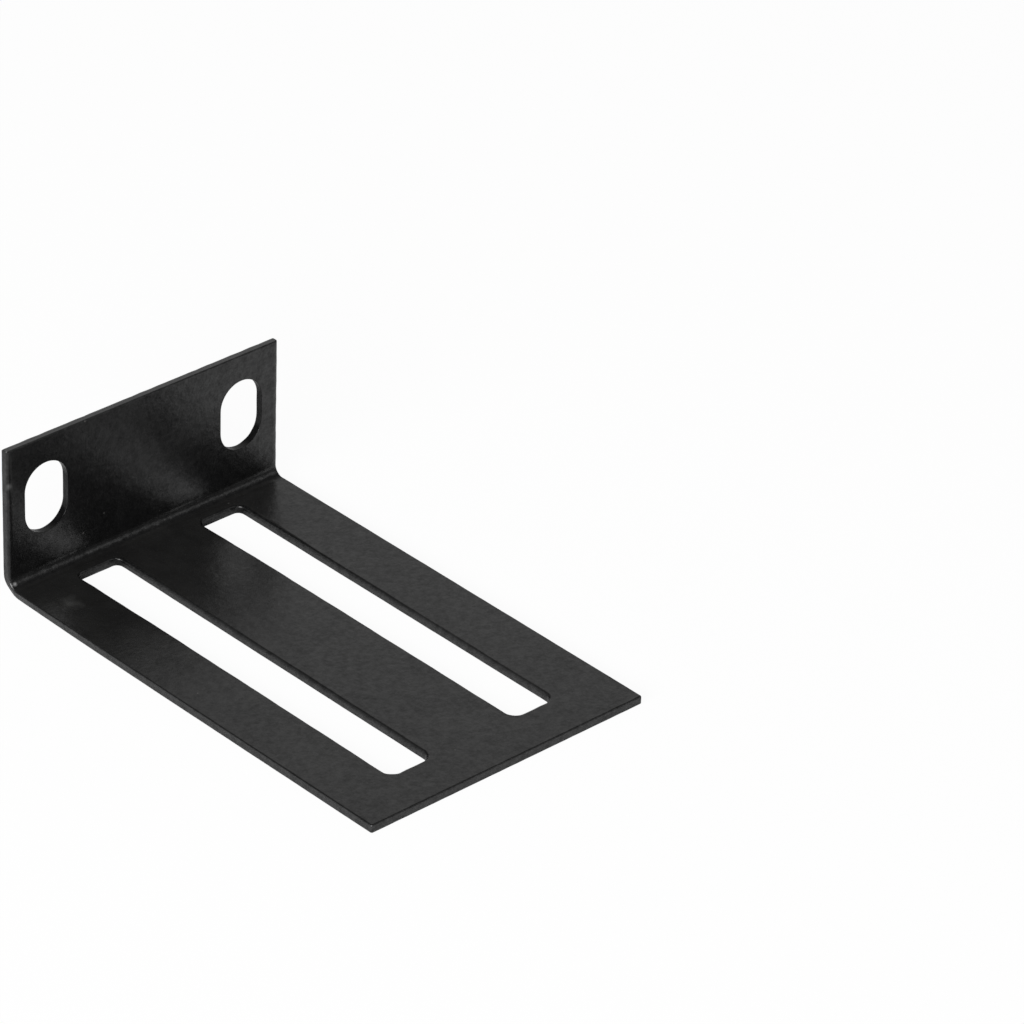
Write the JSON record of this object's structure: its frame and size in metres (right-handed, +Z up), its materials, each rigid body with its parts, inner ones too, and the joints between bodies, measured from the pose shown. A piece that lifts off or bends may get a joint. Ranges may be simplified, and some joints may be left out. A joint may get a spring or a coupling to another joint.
{
  "type": "rack mount ear bracket",
  "caption": "L-shaped folded steel ear bracket, satin black: short slotted flange bolts to a rack rail, long slotted leg takes adjustable screws into a device.",
  "frame": {"origin": "on the underside of the leg, in the middle of the bracket's width and of its length", "axes": "+X across the bracket along the fold, +Y from the leg's free end to the flange's outer face, +Z up the flange"},
  "size_m": [0.044, 0.07, 0.021],
  "materials": {
    "coated_steel": "satin black powder coat over folded steel sheet"
  },
  "bodies": {
    "root": {"ear_bracket": "coated_steel"}
  },
  "joints": []
}
